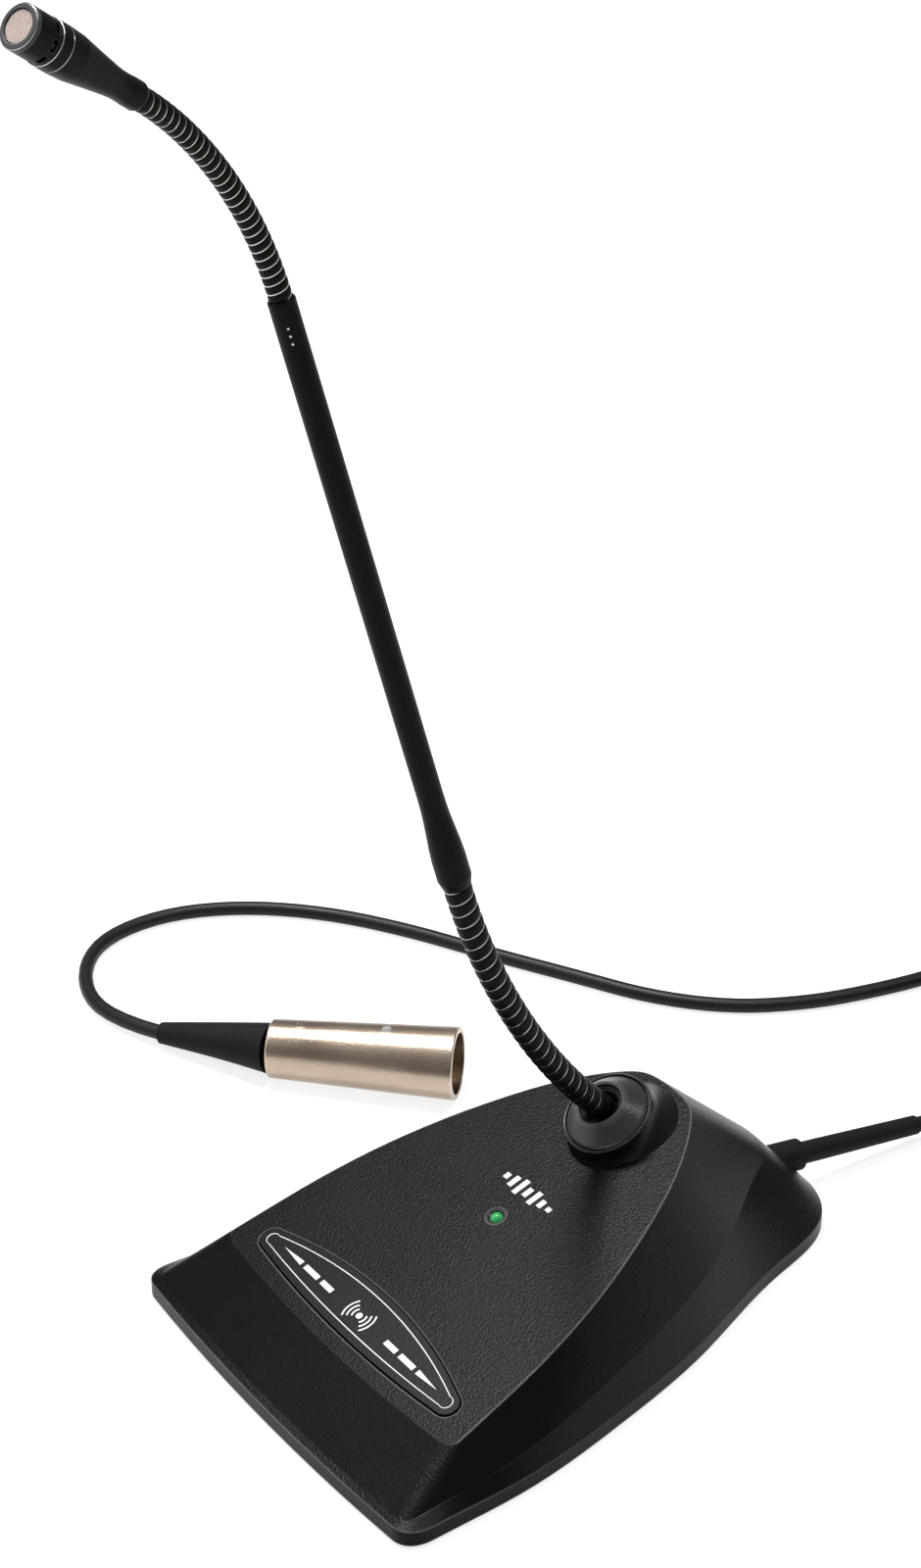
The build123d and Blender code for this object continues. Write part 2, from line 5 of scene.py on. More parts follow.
import bmesh
import bpy
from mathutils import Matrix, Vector

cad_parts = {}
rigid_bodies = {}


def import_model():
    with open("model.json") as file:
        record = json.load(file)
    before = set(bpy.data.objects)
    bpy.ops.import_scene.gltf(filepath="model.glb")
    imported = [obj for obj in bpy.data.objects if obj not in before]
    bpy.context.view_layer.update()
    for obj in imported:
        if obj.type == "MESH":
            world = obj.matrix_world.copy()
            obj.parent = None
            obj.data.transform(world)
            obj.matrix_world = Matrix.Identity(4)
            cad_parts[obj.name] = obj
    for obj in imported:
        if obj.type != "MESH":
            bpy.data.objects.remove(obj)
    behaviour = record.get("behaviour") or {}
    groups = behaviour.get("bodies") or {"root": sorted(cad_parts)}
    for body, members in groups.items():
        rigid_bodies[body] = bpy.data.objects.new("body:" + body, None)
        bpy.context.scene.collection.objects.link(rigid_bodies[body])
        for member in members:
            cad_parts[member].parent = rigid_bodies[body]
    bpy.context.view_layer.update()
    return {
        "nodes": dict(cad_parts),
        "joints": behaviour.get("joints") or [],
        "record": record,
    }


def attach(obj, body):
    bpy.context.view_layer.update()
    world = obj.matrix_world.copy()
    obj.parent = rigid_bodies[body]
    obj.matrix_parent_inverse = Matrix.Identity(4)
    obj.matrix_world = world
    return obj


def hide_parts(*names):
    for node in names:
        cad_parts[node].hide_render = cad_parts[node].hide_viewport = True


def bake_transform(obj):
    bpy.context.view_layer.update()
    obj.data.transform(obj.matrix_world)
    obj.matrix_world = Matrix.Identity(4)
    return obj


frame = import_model()
RECORD = frame["record"]
MM = 0.001

# ---------------------------------------------------------------- driving values
CAMERA_AT = (0.5042, -0.3736, 0.4925)
CAMERA_TURN = (90 - 29.42, 0.0, 55.22)
CAMERA_LENS = 76.5

JOINTS_EACH = 8
NECK_LEAN = 42.5
STUB = 3.1 * MM
LOWER_R, LOWER_TURNS, LOWER_ROWS = 3.22 * MM, 27, 10
UPPER_R, UPPER_TURNS, UPPER_ROWS = 2.5 * MM, 29, 9
CRIMPS = 3
CRIMP_FROM_TOP, CRIMP_SPACING, CRIMP_OUT = 5.5, 1.7, 2.86
CRIMP_SIDE, CRIMP_OTHER = 0.85, -0.53

SEAT_AT = 29.975 * MM  # the middle of the windscreen seat, from the head's foot
HEAD_LENGTH = 33.5
BARREL_R, HEAD_R, GRILLE_R = 4.55, 4.78, 3.2
GROOVES_AT = (23.5, 26.25)
GRILLE_LOW = 32.95
GRILLE_BACK_THICK = 0.1
RING_INNER, RING_WIDTH, RING_SINK = 4.2, 0.25, 0.03
WIRE_SPACING, WIRE_HALF, WIRE_LAYER = 0.36 * MM, 0.1 * MM, 0.06 * MM
WIRES_EACH_SIDE = 8

CABLE_D = 4.0 * MM
COIL_CENTRE = (-0.012, 0.182)
COIL_R = 0.032
COIL_FLOOR = 0.0029
COIL_PITCH = 0.00405
COIL_TURNS = 4.25
COIL_LAYERS = 4

MARK_LIFT = 0.03 * MM
MARK_THICK = 0.05 * MM
BAR_Y = -51.55 * MM
LEVEL_BARS_Y = -4.5 * MM
BEZEL_SINK = 0.15 * MM
LEVEL_BARS = (1.7, 3.4, 4.8, 2.8, 4.2, 2.3, 1.3)
LEVEL_BAR_SPACING, LEVEL_BAR_HALF = 2.7, 0.75
WAVE_RADII, WAVE_SPREAD, WAVE_WIDTH, WAVE_DOT = (1.9, 3.1, 4.3), 38, 0.42, 0.85
WAVE_CENTRE = (0, 0.2)

FLOOR_HALF = 4.0
FLOOR_GLOW = 0.8
FLOOR_DROP = 0.02 * MM
WORLD_STRENGTH = 0.25
BROAD_SCALE = 45
BUMP_DISTANCE = 0.15 * MM


# ---------------------------------------------------------------- materials
def ramp(nodes, low, high, dark, light):
    node = nodes.new("ShaderNodeValToRGB")
    node.color_ramp.elements[0].position = low
    node.color_ramp.elements[1].position = high
    node.color_ramp.elements[0].color = (*dark, 1)
    node.color_ramp.elements[1].color = (*light, 1)
    return node


def rounded_normal(nodes, radius):
    rounded = nodes.new("ShaderNodeBevel")
    rounded.samples = 6
    rounded.inputs["Radius"].default_value = radius
    return rounded


def edge_mask(nodes, links, rounded):
    """White along edges, found from the rounded normal, or from the mesh's own sharpness without it."""
    geometry = nodes.new("ShaderNodeNewGeometry")
    if not rounded:
        edges = ramp(nodes, 0.53, 0.62, (0, 0, 0), (1, 1, 1))
        links.new(geometry.outputs["Pointiness"], edges.inputs["Fac"])
        return edges.outputs["Color"]
    facing = nodes.new("ShaderNodeVectorMath")
    facing.operation = "DOT_PRODUCT"
    links.new(rounded.outputs["Normal"], facing.inputs[0])
    links.new(geometry.outputs["Normal"], facing.inputs[1])
    edges = ramp(nodes, 0.965, 0.998, (1, 1, 1), (0, 0, 0))
    links.new(facing.outputs["Value"], edges.inputs["Fac"])
    return edges.outputs["Color"]


def surface(name, color, rough, metal=0.0, grain=900, depth=0.1, spread=0.08, wear_and_highlight=None,
            edge=0.0, gleam=0.5):
    """A moulded, painted or plated surface: grain in bump and roughness, mottled colour, lighter edges
    that are partly worn and, on the housing, partly a painted highlight along its crease.
    """
    made = bpy.data.materials.new(name)
    made.use_nodes = True
    nodes, links = made.node_tree.nodes, made.node_tree.links
    shader = nodes["Principled BSDF"]
    shader.inputs["Metallic"].default_value = metal
    shader.inputs["Specular IOR Level"].default_value = gleam
    place = nodes.new("ShaderNodeTexCoord")
    fine = nodes.new("ShaderNodeTexNoise")
    fine.inputs["Scale"].default_value = grain
    fine.inputs["Detail"].default_value = 4
    broad = nodes.new("ShaderNodeTexNoise")
    broad.inputs["Scale"].default_value = BROAD_SCALE
    broad.inputs["Detail"].default_value = 3
    for noise in (fine, broad):
        links.new(place.outputs["Object"], noise.inputs["Vector"])
    tint = ramp(nodes, 0.3, 0.7, [c * 0.85 for c in color], [min(1, c * 1.15) for c in color])
    links.new(broad.outputs["Fac"], tint.inputs["Fac"])
    shade = tint.outputs["Color"]
    rounded = rounded_normal(nodes, edge) if edge else None
    # Lighter colour mixed in along edges: worn edges, and on the housing also a painted highlight for its
    # bright crease.
    if wear_and_highlight:
        mix = nodes.new("ShaderNodeMix")
        mix.data_type = "RGBA"
        links.new(edge_mask(nodes, links, rounded), mix.inputs["Factor"])
        links.new(shade, mix.inputs["A"])
        mix.inputs["B"].default_value = (*wear_and_highlight, 1)
        shade = mix.outputs["Result"]
    links.new(shade, shader.inputs["Base Color"])
    gloss = nodes.new("ShaderNodeMapRange")
    gloss.inputs["To Min"].default_value = max(0.03, rough - spread)
    gloss.inputs["To Max"].default_value = min(1.0, rough + spread)
    links.new(broad.outputs["Fac"], gloss.inputs["Value"])
    links.new(gloss.outputs["Result"], shader.inputs["Roughness"])
    bump = nodes.new("ShaderNodeBump")
    bump.inputs["Strength"].default_value = depth
    bump.inputs["Distance"].default_value = BUMP_DISTANCE
    links.new(fine.outputs["Fac"], bump.inputs["Height"])
    if rounded:
        links.new(rounded.outputs["Normal"], bump.inputs["Normal"])
    links.new(bump.outputs["Normal"], shader.inputs["Normal"])
    return made


def led_material():
    made = surface("led_green", (0.02, 0.3, 0.07), 0.12, grain=400, depth=0.02)
    shader = made.node_tree.nodes["Principled BSDF"]
    shader.inputs["Transmission Weight"].default_value = 0.35
    shader.inputs["Emission Color"].default_value = (0.1, 0.9, 0.3, 1)
    shader.inputs["Emission Strength"].default_value = 0.12
    return made


BLACK = (0.003, 0.003, 0.0033)
MATERIALS = {
    # Its lighter edge colour is partly worn edges and partly a painted highlight for the bright crease
    # line.
    "housing_black": surface("housing_black", BLACK, 0.31, grain=1700, depth=0.75, spread=0.03,
                             wear_and_highlight=(0.11, 0.11, 0.113), edge=0.6 * MM, gleam=0.07),
    "boss_black": surface("boss_black", BLACK, 0.3, depth=0.05, wear_and_highlight=(0.03, 0.03, 0.03),
                          edge=0.3 * MM, gleam=0.2),
    "cone_grey": surface("cone_grey", (0.014, 0.014, 0.015), 0.32, grain=1300, depth=0.3,
                         wear_and_highlight=(0.05, 0.05, 0.05), gleam=0.5),
    "button_black": surface("button_black", BLACK, 0.38, grain=1700, depth=0.4, edge=0.3 * MM,
                            gleam=0.09),
    "neck_black": surface("neck_black", BLACK, 0.42, grain=1600, depth=0.2, gleam=0.07),
    "head_black": surface("head_black", BLACK, 0.42, grain=1600, depth=0.2, wear_and_highlight=(0.08, 0.075, 0.07),
                          edge=0.1 * MM, gleam=0.08),
    "front_grey": surface("front_grey", (0.03, 0.032, 0.036), 0.5, grain=1800, depth=0.25,
                          wear_and_highlight=(0.12, 0.12, 0.12), edge=0.1 * MM, gleam=0.2),
    "grille_mesh": surface("grille_mesh", (0.62, 0.52, 0.47), 0.45, 0.55, 2000, 0.2),
    "led_green": led_material(),
    "bezel_black": surface("bezel_black", (0.01, 0.01, 0.01), 0.25, depth=0.05, gleam=0.4),
    "rubber_black": surface("rubber_black", (0.005, 0.005, 0.005), 0.6, grain=1300, depth=0.45,
                            gleam=0.1),
    "cable_black": surface("cable_black", (0.005, 0.005, 0.0055), 0.45, grain=1500, depth=0.4,
                           gleam=0.18),
    "tie_black": surface("tie_black", (0.01, 0.01, 0.01), 0.7, grain=2200, depth=0.8, gleam=0.25),
    "steel": surface("steel", (0.45, 0.45, 0.46), 0.35, 1.0, 1200, 0.2, wear_and_highlight=(0.7, 0.7, 0.7)),
    "iron": surface("iron", (0.06, 0.06, 0.06), 0.7, 0.6, 500, 0.9),
    "board_green": surface("board_green", (0.02, 0.14, 0.05), 0.35, grain=700, depth=0.1),
    "component_dark": surface("component_dark", (0.03, 0.03, 0.03), 0.5, depth=0.1),
    "copper_wire": surface("copper_wire", (0.25, 0.06, 0.04), 0.45, depth=0.1),
    "capsule_metal": surface("capsule_metal", (0.55, 0.55, 0.55), 0.35, 0.9, depth=0.15),
    "shell_nickel": surface("shell_nickel", (0.4, 0.32, 0.25), 0.3, 1.0, 1400, 0.35, 0.06,
                            wear_and_highlight=(0.75, 0.68, 0.58), edge=0.2 * MM),
    "pin_gold": surface("pin_gold", (0.8, 0.55, 0.2), 0.25, 1.0, depth=0.1),
}
BRIGHT = surface("bright_line", (0.6, 0.6, 0.6), 0.25, 1.0, 1500, 0.1)
LOWER_LINE = surface("lower_line", (0.3, 0.29, 0.28), 0.28, 1.0, 1500, 0.1)
UPPER_LINE = surface("upper_line", (0.5, 0.47, 0.43), 0.25, 1.0, 1500, 0.1)
PRINT = surface("printed_mark", (0.45, 0.46, 0.48), 0.5, grain=2500, depth=0.2)


SHADE_PAINTED_LOOKS = {"preamp_board": "component_dark"}  # a board that only shows as darkness behind the slots: its own green is swapped for a dark colour, painted shade for that hollow


def finish_cad_nodes():
    for row in RECORD["subparts"]:
        node = frame["nodes"][row["node"]]
        made = MATERIALS[SHADE_PAINTED_LOOKS.get(row["node"], row["material_slot"])]
        if not node.material_slots:
            node.data.materials.append(made)
        for each in node.material_slots:
            each.material = made


# ---------------------------------------------------------------- mesh helpers
def add_mesh(name, points, faces, materials, smooth=True, indices=None):
    mesh = bpy.data.meshes.new(name)
    mesh.from_pydata(points, [], faces)
    for each in materials:
        mesh.materials.append(each)
    if indices:
        mesh.polygons.foreach_set("material_index", indices)
    mesh.polygons.foreach_set("use_smooth", [smooth] * len(faces))
    mesh.update()
    made = bpy.data.objects.new(name, mesh)
    bpy.context.scene.collection.objects.link(made)
    return made


def tidy_mesh(piece, cap=True):
    """Merges doubled points, closes the open ends and turns the faces outwards."""
    work = bmesh.new()
    work.from_mesh(piece.data)
    bmesh.ops.remove_doubles(work, verts=work.verts, dist=1e-7)
    bmesh.ops.dissolve_degenerate(work, edges=work.edges, dist=1e-7)
    if cap:
        bmesh.ops.holes_fill(work, edges=[e for e in work.edges if e.is_boundary], sides=0)
    bmesh.ops.recalc_face_normals(work, faces=work.faces)
    work.to_mesh(piece.data)
    work.free()


def across(way):
    """Two unit vectors square to a way and to each other."""
    side = (Vector((1, 0, 0)) - way * way.x).normalized()
    return side, way.cross(side)


def lathe(name, origin, way, profile, material, body, columns=64):
    """A closed ring of revolution from (radius, height) points in millimetres."""
    side, other = across(way)
    count = len(profile)
    points = []
    for j in range(columns):
        turn = 2 * math.pi * j / columns
        out = side * math.cos(turn) + other * math.sin(turn)
        points += [origin + out * (r * MM) + way * (h * MM) for r, h in profile]
    faces = []
    for j in range(columns):
        near, far = j * count, (j + 1) % columns * count
        for i in range(count):
            k = (i + 1) % count
            faces.append((near + i, near + k, far + k, far + i))
    piece = add_mesh(name, points, faces, [material])
    tidy_mesh(piece, cap=False)
    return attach(piece, body)


# ---------------------------------------------------------------- neck
def neck_joints():
    hinges = [j for j in frame["joints"] if j["type"] == "hinge"]
    return [Vector(j["pos_m"]) for j in hinges], [(j["parent"], j["child"]) for j in hinges]


JOINTS, PAIRS = neck_joints()
TUBE_WAY = (JOINTS[JOINTS_EACH] - JOINTS[JOINTS_EACH - 1]).normalized()
SEAT = next(m for m in RECORD["mounts"] if m["name"] == "windscreen_seat")
HEAD_WAY = Vector(SEAT["axis"])
HEAD_AT = Vector(SEAT["pos_m"]) - HEAD_WAY * SEAT_AT


def half_link(first):
    return (JOINTS[first + 1] - JOINTS[first]).length / 2


def stretch_line(first, start, end, steps=24):
    """Points of a smooth line past eight joints, and the length along it where each sleeve ends."""
    knots = [start]
    for i in range(first, first + JOINTS_EACH - 1):
        knots.append((JOINTS[i] + JOINTS[i + 1]) / 2)
    knots.append(end)
    points, cuts, length = [start.copy()], [0.0], 0.0
    for i in range(JOINTS_EACH):
        a, b, c = knots[i], JOINTS[first + i], knots[i + 1]
        for n in range(1, steps + 1):
            t = n / steps
            at = a * (1 - t) ** 2 + b * (2 * t * (1 - t)) + c * t ** 2
            length += (at - points[-1]).length
            points.append(at)
        cuts.append(length)
    return points, cuts


class Line:
    """A line that can be asked for its place and its side vectors at a length."""

    def __init__(self, points):
        self.points, self.lengths, self.frames = points, [0.0], []
        for a, b in zip(points, points[1:]):
            self.lengths.append(self.lengths[-1] + (b - a).length)
        side = None
        for i in range(len(points)):
            a, b = points[max(0, i - 1)], points[min(len(points) - 1, i + 1)]
            way = (b - a).normalized()
            side = across(way)[0] if side is None else (side - way * side.dot(way)).normalized()
            self.frames.append((side, way.cross(side)))

    def at(self, length):
        low, high = 0, len(self.points) - 2
        while low < high:
            mid = (low + high + 1) // 2
            if self.lengths[mid] <= length:
                low = mid
            else:
                high = mid - 1
        t = (length - self.lengths[low]) / (self.lengths[low + 1] - self.lengths[low])
        t = min(1.0, max(0.0, t))
        place = self.points[low].lerp(self.points[low + 1], t)
        side = self.frames[low][0].lerp(self.frames[low + 1][0], t).normalized()
        other = self.frames[low][1].lerp(self.frames[low + 1][1], t).normalized()
        return place, side, other


def wound_radius(radius, phase, share):
    """A rounded wire turn, with a thin flat strip showing between it and the next."""
    if phase < share:
        return radius * 0.925
    across_turn = 2 * (phase - share) / (1 - share) - 1
    return radius * (1 - 0.07 * across_turn ** 4)


def sleeve(name, line, low, high, radius, pitch, rows, strip, columns=40):
    """One joint's share of a spiral-wound stretch."""
    share = 1.0 / rows
    step = pitch / rows
    first = math.floor(low / step) - rows
    last = math.ceil(high / step) + rows
    points = []
    for k in range(first, last + rows + 1):
        for j in range(columns):
            length = min(high, max(low, k * step + pitch * (j / columns - 1)))
            phase = (length / pitch - j / columns) % 1.0
            place, side, other = line.at(length)
            turn = 2 * math.pi * j / columns
            out = side * math.cos(turn) + other * math.sin(turn)
            points.append(place + out * wound_radius(radius, phase, share))
    faces, indices = [], []
    for k in range(last - first):
        for j in range(columns):
            a = k * columns + j
            b = a + 1 if j < columns - 1 else (k + rows) * columns
            faces.append((a, b, b + columns, a + columns))
            indices.append(1 if (first + k) % rows == 0 else 0)
    piece = add_mesh(name, points, faces, [MATERIALS["neck_black"], strip], indices=indices)
    tidy_mesh(piece)
    return piece


def flexible_stretch(label, first, start, end, radius, turns, rows, strip, stood_for):
    points, cuts = stretch_line(first, start, end)
    line = Line(points)
    pitch = cuts[-1] / turns
    for i in range(JOINTS_EACH):
        piece = sleeve(f"{label}_flex_{i + 1}", line, cuts[i], cuts[i + 1], radius, pitch, rows, strip)
        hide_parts(*stood_for[i])
        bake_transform(piece)


def build_neck():
    lean = math.radians(NECK_LEAN)
    start_way = Vector((0, -math.sin(lean), math.cos(lean)))
    low_half, high_half = half_link(0), half_link(JOINTS_EACH)
    start = JOINTS[0] - start_way * (low_half + STUB)
    tube_foot = JOINTS[JOINTS_EACH - 1] + TUBE_WAY * low_half
    tube_top = JOINTS[JOINTS_EACH] - TUBE_WAY * high_half
    last = JOINTS_EACH - 1
    lower = [["neck_ferrule"]] + [[f"lower_link_{n}"] for n in range(1, JOINTS_EACH)]
    lower[last] = lower[last] + ["lower_flex_end"]
    upper = [["upper_flex_start"]] + [[f"upper_link_{n}"] for n in range(1, JOINTS_EACH)]
    upper[last] = upper[last] + ["head_stub"]
    flexible_stretch("lower", 0, start, tube_foot, LOWER_R, LOWER_TURNS, LOWER_ROWS, LOWER_LINE, lower)
    flexible_stretch("upper", JOINTS_EACH, tube_top, HEAD_AT, UPPER_R, UPPER_TURNS, UPPER_ROWS,
                     UPPER_LINE, upper)
    side, other = across(TUBE_WAY)
    out = (side * CRIMP_SIDE + other * CRIMP_OTHER).normalized()
    for n in range(CRIMPS):
        down = (CRIMP_FROM_TOP + CRIMP_SPACING * n) * MM
        at = tube_top - TUBE_WAY * down + out * (CRIMP_OUT * MM)
        lathe(f"crimp_mark_{n + 1}", at, out, [(0.001, 0), (0.3, 0), (0.26, 0.1), (0.001, 0.12)],
              UPPER_LINE, "tube", 16)


# ---------------------------------------------------------------- head
def build_head():
    for n, low in enumerate(GROOVES_AT):
        outer, high = HEAD_R - RING_SINK, low + RING_WIDTH
        lathe(f"head_bright_ring_{n + 1}", HEAD_AT, HEAD_WAY,
              [(RING_INNER, low), (outer, low + RING_SINK), (outer, high - RING_SINK), (RING_INNER, high)],
              BRIGHT, "head")
    lathe("front_bright_rim", HEAD_AT, HEAD_WAY,
          [(BARREL_R - 0.3, HEAD_LENGTH - 0.3), (BARREL_R - 0.065, HEAD_LENGTH - 0.275),
           (BARREL_R - 0.17, HEAD_LENGTH - 0.17), (BARREL_R - 0.3, HEAD_LENGTH - 0.2)],
          BRIGHT, "head")
    back_top = GRILLE_LOW + GRILLE_BACK_THICK
    lathe("grille_back", HEAD_AT, HEAD_WAY,
          [(0.001, GRILLE_LOW), (GRILLE_R, GRILLE_LOW), (GRILLE_R, back_top), (0.001, back_top)],
          MATERIALS["capsule_metal"], "head")
    build_weave()


def build_weave():
    """Two crossing layers of wires with bevelled tops, cut to the grille's circle."""
    side, other = across(HEAD_WAY)
    radius, half = (GRILLE_R - 0.02) * MM, WIRE_HALF
    points, faces = [], []
    centre = HEAD_AT + HEAD_WAY * ((GRILLE_LOW + 0.12) * MM)
    for along, sideways, lift in ((side, other, 0.0), (other, side, WIRE_LAYER)):
        for n in range(-WIRES_EACH_SIDE, WIRES_EACH_SIDE + 1):
            off = n * WIRE_SPACING
            reach = math.sqrt(radius ** 2 - off ** 2)
            base = len(points)
            for a in (-reach, reach):
                for s, h in ((-half, 0), (half, 0), (half * 0.4, half), (-half * 0.4, half)):
                    points.append(centre + along * a + sideways * (off + s) + HEAD_WAY * (lift + h))
            faces += [(base + i, base + (i + 1) % 4, base + 4 + (i + 1) % 4, base + 4 + i)
                      for i in range(4)]
            faces += [(base + 3, base + 2, base + 1, base), (base + 4, base + 5, base + 6, base + 7)]
    mesh = add_mesh("grille_weave", points, faces, [MATERIALS["grille_mesh"]], smooth=False)
    tidy_mesh(mesh, cap=False)
    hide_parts("capsule_grille")
    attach(mesh, "head")


# ---------------------------------------------------------------- printed marks
PRESS = next(j for j in frame["joints"] if j["name"] == "button_press")
DECK_UP = -Vector(PRESS["axis"])
DECK_BACK = DECK_UP.cross(Vector((1, 0, 0)))


def highest(node):
    """The height of a node's top face along the deck's normal."""
    return max(v.co.dot(DECK_UP) for v in frame["nodes"][node].data.vertices)


def on_face(node, y, above=0.0):
    """The point on the middle plane, at a y, of the face that a node's top lies in."""
    height = highest(node) + above
    return Vector((0, y, (height - y * DECK_UP.y) / DECK_UP.z))


def printed(name, outlines, origin, body):
    """Thin raised prints from closed outlines in millimetres on the deck's plane."""
    points, faces = [], []
    for outline in outlines:
        base, count = len(points), len(outline)
        for lift in (MARK_LIFT - MARK_THICK, MARK_LIFT):
            points += [origin + Vector((u * MM, 0, 0)) + DECK_BACK * (v * MM) + DECK_UP * lift
                       for u, v in outline]
        faces.append(tuple(base + count + i for i in range(count)))
        faces.append(tuple(base + i for i in reversed(range(count))))
        faces += [(base + i, base + (i + 1) % count, base + count + (i + 1) % count, base + count + i)
                  for i in range(count)]
    piece = add_mesh(name, points, faces, [PRINT], smooth=False)
    tidy_mesh(piece, cap=False)
    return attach(piece, body)


def arc_through(a, b, c, steps):
    """Points of the arc from a to c through b."""
    (ax, ay), (bx, by), (cx, cy) = a, b, c
    d = 2 * (ax * (by - cy) + bx * (cy - ay) + cx * (ay - by))
    aa, bb, cc = ax * ax + ay * ay, bx * bx + by * by, cx * cx + cy * cy
    x = (aa * (by - cy) + bb * (cy - ay) + cc * (ay - by)) / d
    y = (aa * (cx - bx) + bb * (ax - cx) + cc * (bx - ax)) / d
    first, middle, last = (math.atan2(q - y, p - x) for p, q in (a, b, c))
    middle = first + math.remainder(middle - first, 2 * math.pi)
    last = middle + math.remainder(last - middle, 2 * math.pi)
    radius = math.hypot(ax - x, ay - y)
    turns = [first + (last - first) * n / steps for n in range(steps)]
    return [(x + radius * math.cos(t), y + radius * math.sin(t)) for t in turns]


def lens_line(inset):
    """The talk bar's outline, drawn in by an inset."""
    end, rear, front = 36.5 - inset * 0.75, 2.45 - inset * 0.75, -3.5 + inset * 0.75
    tip, back, fore = 39.1 - inset, 8.2 - inset, -5.7 + inset
    corners = (((end, rear), (0, back), (-end, rear), 48), ((-end, rear), (-tip, -0.5), (-end, front), 12),
               ((-end, front), (0, fore), (end, front), 48), ((end, front), (tip, -0.5), (end, rear), 12))
    return [p for a, b, c, steps in corners for p in arc_through(a, b, c, steps)]


def ribbon(line, other):
    """Quads that fill the strip between two closed lines of equal count."""
    count = len(line)
    return [[line[i], line[(i + 1) % count], other[(i + 1) % count], other[i]] for i in range(count)]


def bent_bar(radius, low, high, width, centre, steps=10):
    """The outline of a short arc with a width, from and to an angle in degrees."""
    turns = [math.radians(low + (high - low) * n / steps) for n in range(steps + 1)]
    x, y = centre
    outside, inside = radius + width / 2, radius - width / 2
    outer = [(x + outside * math.cos(t), y + outside * math.sin(t)) for t in turns]
    inner = [(x + inside * math.cos(t), y + inside * math.sin(t)) for t in reversed(turns)]
    return outer + inner


def build_marks():
    on_bar = on_face("push_button", BAR_Y)
    marks = ribbon(lens_line(1.75), lens_line(2.0))
    for s in (-1, 1):
        marks.append([(s * 31.3, 0.0), (s * 23.7, 0.7), (s * 23.7, -0.7)][::s])
        marks.append([(s * 22.4, -0.7), (s * 22.4, 0.7), (s * 16.8, 0.7), (s * 16.8, -0.7)][::-s])
        marks.append([(s * 15.4, -0.7), (s * 15.4, 0.7), (s * 11.0, 0.7), (s * 11.0, -0.7)][::-s])
        middle = 0 if s > 0 else 180
        for radius in WAVE_RADII:
            marks.append(bent_bar(radius, middle - WAVE_SPREAD, middle + WAVE_SPREAD, WAVE_WIDTH,
                                  WAVE_CENTRE))
    marks.append([(WAVE_CENTRE[0] + WAVE_DOT * math.cos(t), WAVE_CENTRE[1] + WAVE_DOT * math.sin(t))
                  for t in (2 * math.pi * n / 24 for n in range(24))])
    printed("talk_bar_print", marks, on_bar, "button")
    spot = on_face("led_bezel", LEVEL_BARS_Y, BEZEL_SINK)
    bars = []
    for n, tall in enumerate(LEVEL_BARS):
        x = (n - len(LEVEL_BARS) // 2) * LEVEL_BAR_SPACING
        left, right = x - LEVEL_BAR_HALF, x + LEVEL_BAR_HALF
        bars.append([(left, -tall / 2), (right, -tall / 2), (right, tall / 2), (left, tall / 2)])
    printed("level_bars_print", bars, spot, "base")


# ---------------------------------------------------------------- cable
LEAD = [(1.82, 102.75, 5.88), (2.98, 119.09, 3.9), (6.2, 137.0, 2.05), (12.0, 153.5, 2.05),
        (18.5, 168.5, 2.4)]
TAIL = [(-49.5, 168, 2.05), (-53, 150, 2.05), (-58.5, 131.5, 2.05), (-68.5, 113, 2.05), (-85, 98, 2.05),
        (-105, 87.5, 2.05), (-127.5, 75, 2.05), (-150.5, 63.5, 2.05), (-171.5, 49.5, 2.05),
        (-188, 31.5, 2.05), (-197, 10.5, 2.05), (-194.5, -11, 2.05), (-179, -24.5, 2.05),
        (-159.5, -27.3, 2.05), (-143.0, -20.0, 3.6)]
PER_TURN = 16


def eased(t):
    t = min(1.0, max(0.0, t))
    return t * t * (3 - 2 * t)


def coil_points():
    """Flat spirals that run in and out by turns, one on another, then half a turn down outside them."""
    inner = COIL_R - COIL_TURNS * COIL_PITCH
    per_layer = int(COIL_TURNS * PER_TURN)
    grow = 1 / math.cos(math.pi / PER_TURN)
    quarter = PER_TURN // 4
    points = []
    for n in range(COIL_LAYERS * per_layer):
        layer, step = divmod(n, per_layer)
        share = step / per_layer if layer == 0 else max(0, step - quarter) / (per_layer - quarter)
        radius = COIL_R + (inner - COIL_R) * (share if layer % 2 == 0 else 1 - share)
        level = layer if layer == 0 else layer - 1 + eased(step / quarter)
        points.append((n, radius, COIL_FLOOR + level * COIL_PITCH))
    top = COIL_FLOOR + (COIL_LAYERS - 1) * COIL_PITCH
    half = PER_TURN // 2
    for step in range(half + 1):
        radius = COIL_R + COIL_PITCH * eased(step / 2)
        fall = eased((step - 1) / (half - 1))
        points.append((COIL_LAYERS * per_layer + step, radius, top + (COIL_FLOOR - top) * fall))
    placed = []
    for n, radius, height in points:
        turn = 2 * math.pi * n / PER_TURN
        placed.append((COIL_CENTRE[0] + radius * grow * math.cos(turn),
                       COIL_CENTRE[1] + radius * grow * math.sin(turn), height))
    return placed


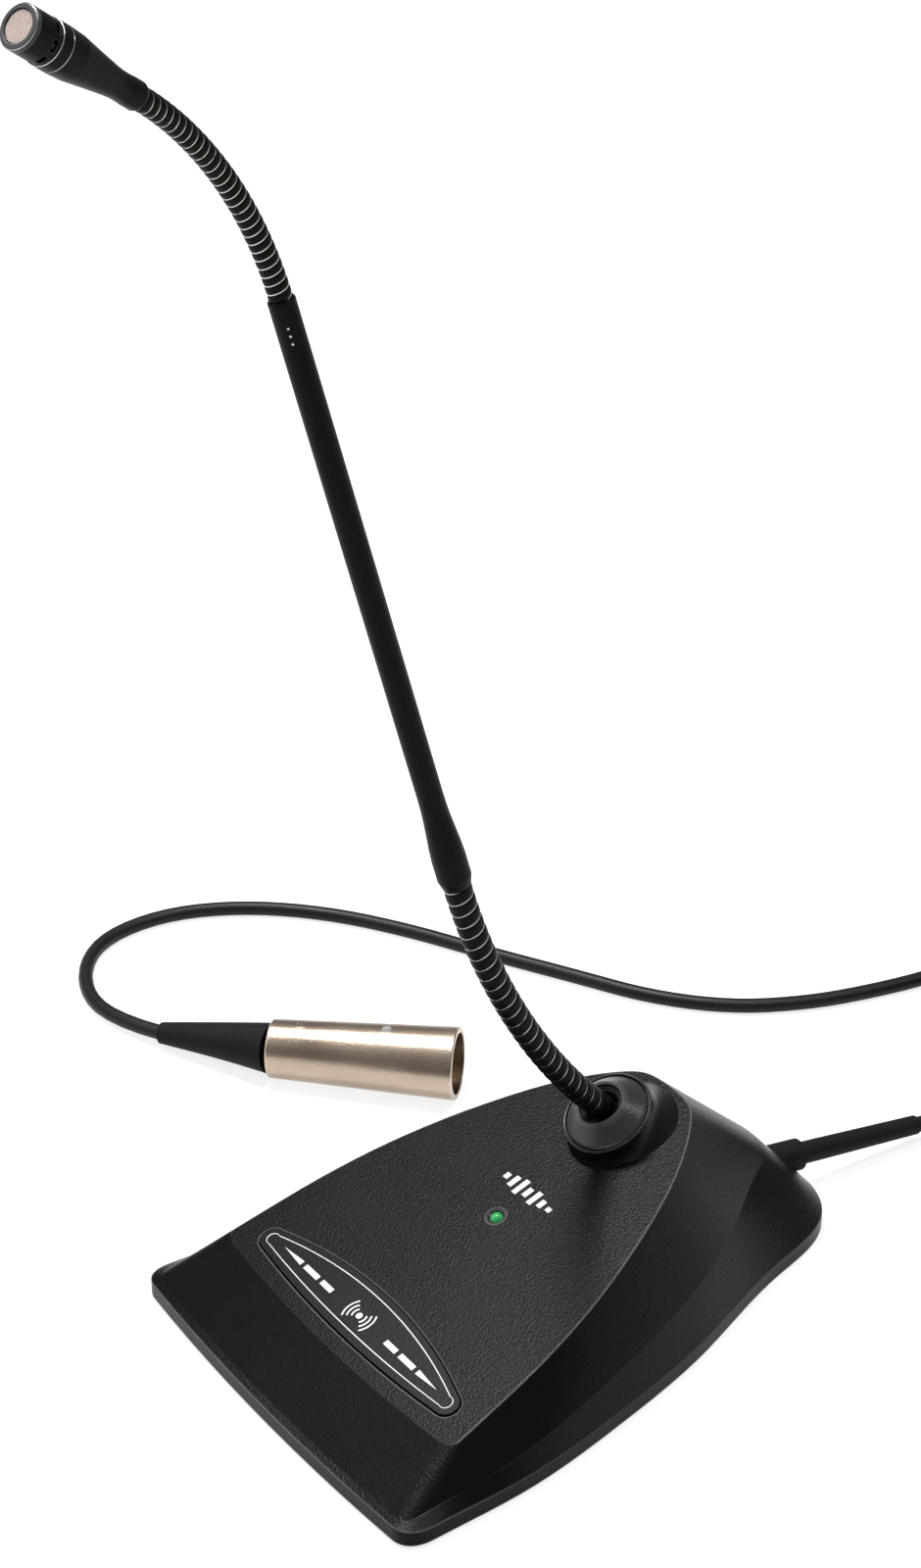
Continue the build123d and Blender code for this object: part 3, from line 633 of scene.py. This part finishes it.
def build_cable():
    route = [Vector(p) * MM for p in LEAD] + [Vector(p) for p in coil_points()]
    route += [Vector(p) * MM for p in TAIL]
    curve = bpy.data.curves.new("cable", "CURVE")
    curve.dimensions = "3D"
    curve.bevel_depth = CABLE_D / 2
    curve.bevel_resolution = 5
    curve.resolution_u = 5
    curve.use_fill_caps = True
    spline = curve.splines.new("NURBS")
    spline.points.add(len(route) - 1)
    for point, at in zip(spline.points, route):
        point.co = (*at, 1)
    spline.order_u = 3
    spline.use_endpoint_u = True
    curve.materials.append(MATERIALS["cable_black"])
    cable = bpy.data.objects.new("cable", curve)
    bpy.context.scene.collection.objects.link(cable)
    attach(cable, "base")
    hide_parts("cable_lead", "cable_coil", "cable_tail")


# ---------------------------------------------------------------- stage
def area_light(name, at, target, size, power):
    light = bpy.data.lights.new(name, "AREA")
    light.shape = "RECTANGLE"
    light.size, light.size_y = size
    light.energy = power
    made = bpy.data.objects.new(name, light)
    made.location = at
    made.rotation_euler = (Vector(target) - Vector(at)).to_track_quat("-Z", "Y").to_euler()
    bpy.context.scene.collection.objects.link(made)


def build_stage():
    floor = surface("floor_white", (0.3, 0.3, 0.3), 0.8, grain=30, depth=0.01, spread=0.03, gleam=0.2)
    glow = floor.node_tree.nodes["Principled BSDF"]
    glow.inputs["Emission Color"].default_value = (1, 1, 1, 1)
    glow.inputs["Emission Strength"].default_value = FLOOR_GLOW
    half = FLOOR_HALF
    corners = [(-half, -half, 0), (half, -half, 0), (half, half, 0), (-half, half, 0)]
    plane = add_mesh("floor", corners, [(0, 1, 2, 3)], [floor], smooth=False)
    plane.location.z = -FLOOR_DROP
    world = bpy.data.worlds.new("studio")
    world.use_nodes = True
    world.node_tree.nodes["Background"].inputs["Color"].default_value = (1, 1, 1, 1)
    world.node_tree.nodes["Background"].inputs["Strength"].default_value = WORLD_STRENGTH
    bpy.context.scene.world = world
    area_light("overhead", (-0.43, -0.05, 1.2), (0, 0, 0.05), (0.25, 0.4), 27)
    area_light("crease", (0.27, 0.3, 1.3), (0, 0, 0.05), (0.12, 0.7), 7)
    area_light("front_left", (-0.5, -0.9, 0.8), (0, 0, 0.1), (0.7, 0.5), 5)
    camera = bpy.data.cameras.new("camera")
    camera.lens = CAMERA_LENS
    camera.sensor_width = 36
    made = bpy.data.objects.new("camera", camera)
    made.location = CAMERA_AT
    made.rotation_euler = [math.radians(a) for a in CAMERA_TURN]
    bpy.context.scene.collection.objects.link(made)
    bpy.context.scene.camera = made
    bpy.context.scene.view_settings.view_transform = "Standard"


build_stage()
finish_cad_nodes()
build_cable()
build_neck()
build_head()
build_marks()
